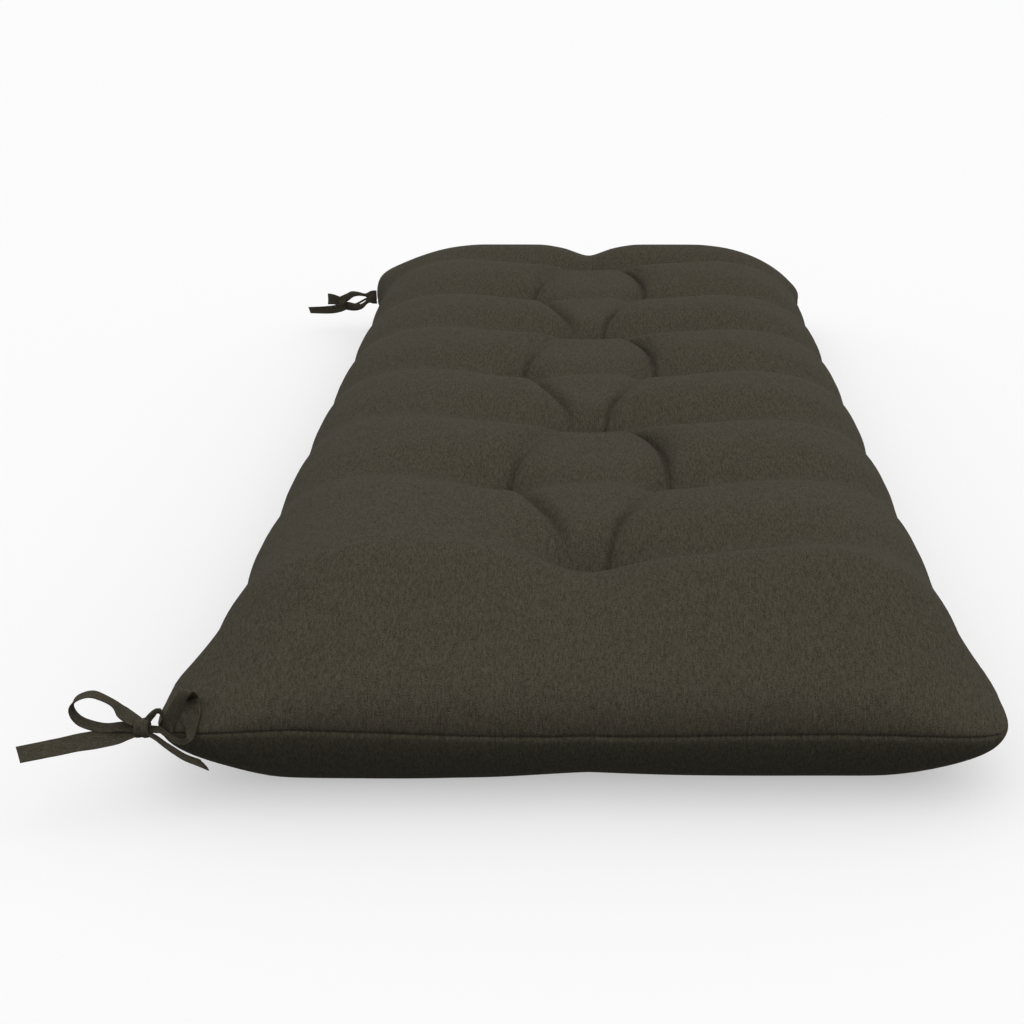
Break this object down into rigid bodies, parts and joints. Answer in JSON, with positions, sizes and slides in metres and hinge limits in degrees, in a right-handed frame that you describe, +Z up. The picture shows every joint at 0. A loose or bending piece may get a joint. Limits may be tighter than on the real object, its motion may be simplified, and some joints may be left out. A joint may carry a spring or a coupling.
{
  "type": "bench cushion",
  "caption": "Long tufted bench seat cushion, puffed into cross ribs with flared corners and a tape bow at each end of its back edge.",
  "frame": {"origin": "middle of the underside, on the surface that the cushion lies on", "axes": "+Y along the bench, with the pictured end at -Y; +X across the seat, with the ties at -X; +Z up"},
  "size_m": [0.6027, 1.2301, 0.1265],
  "materials": {
    "cover_cloth": "dark olive grey woven cloth with a fine two-tone fleck",
    "tie_tape": "the same cloth folded into a narrow tape"
  },
  "bodies": {
    "root": {"cushion": "cover_cloth", "front_tie": "tie_tape", "back_tie": "tie_tape"}
  },
  "joints": []
}
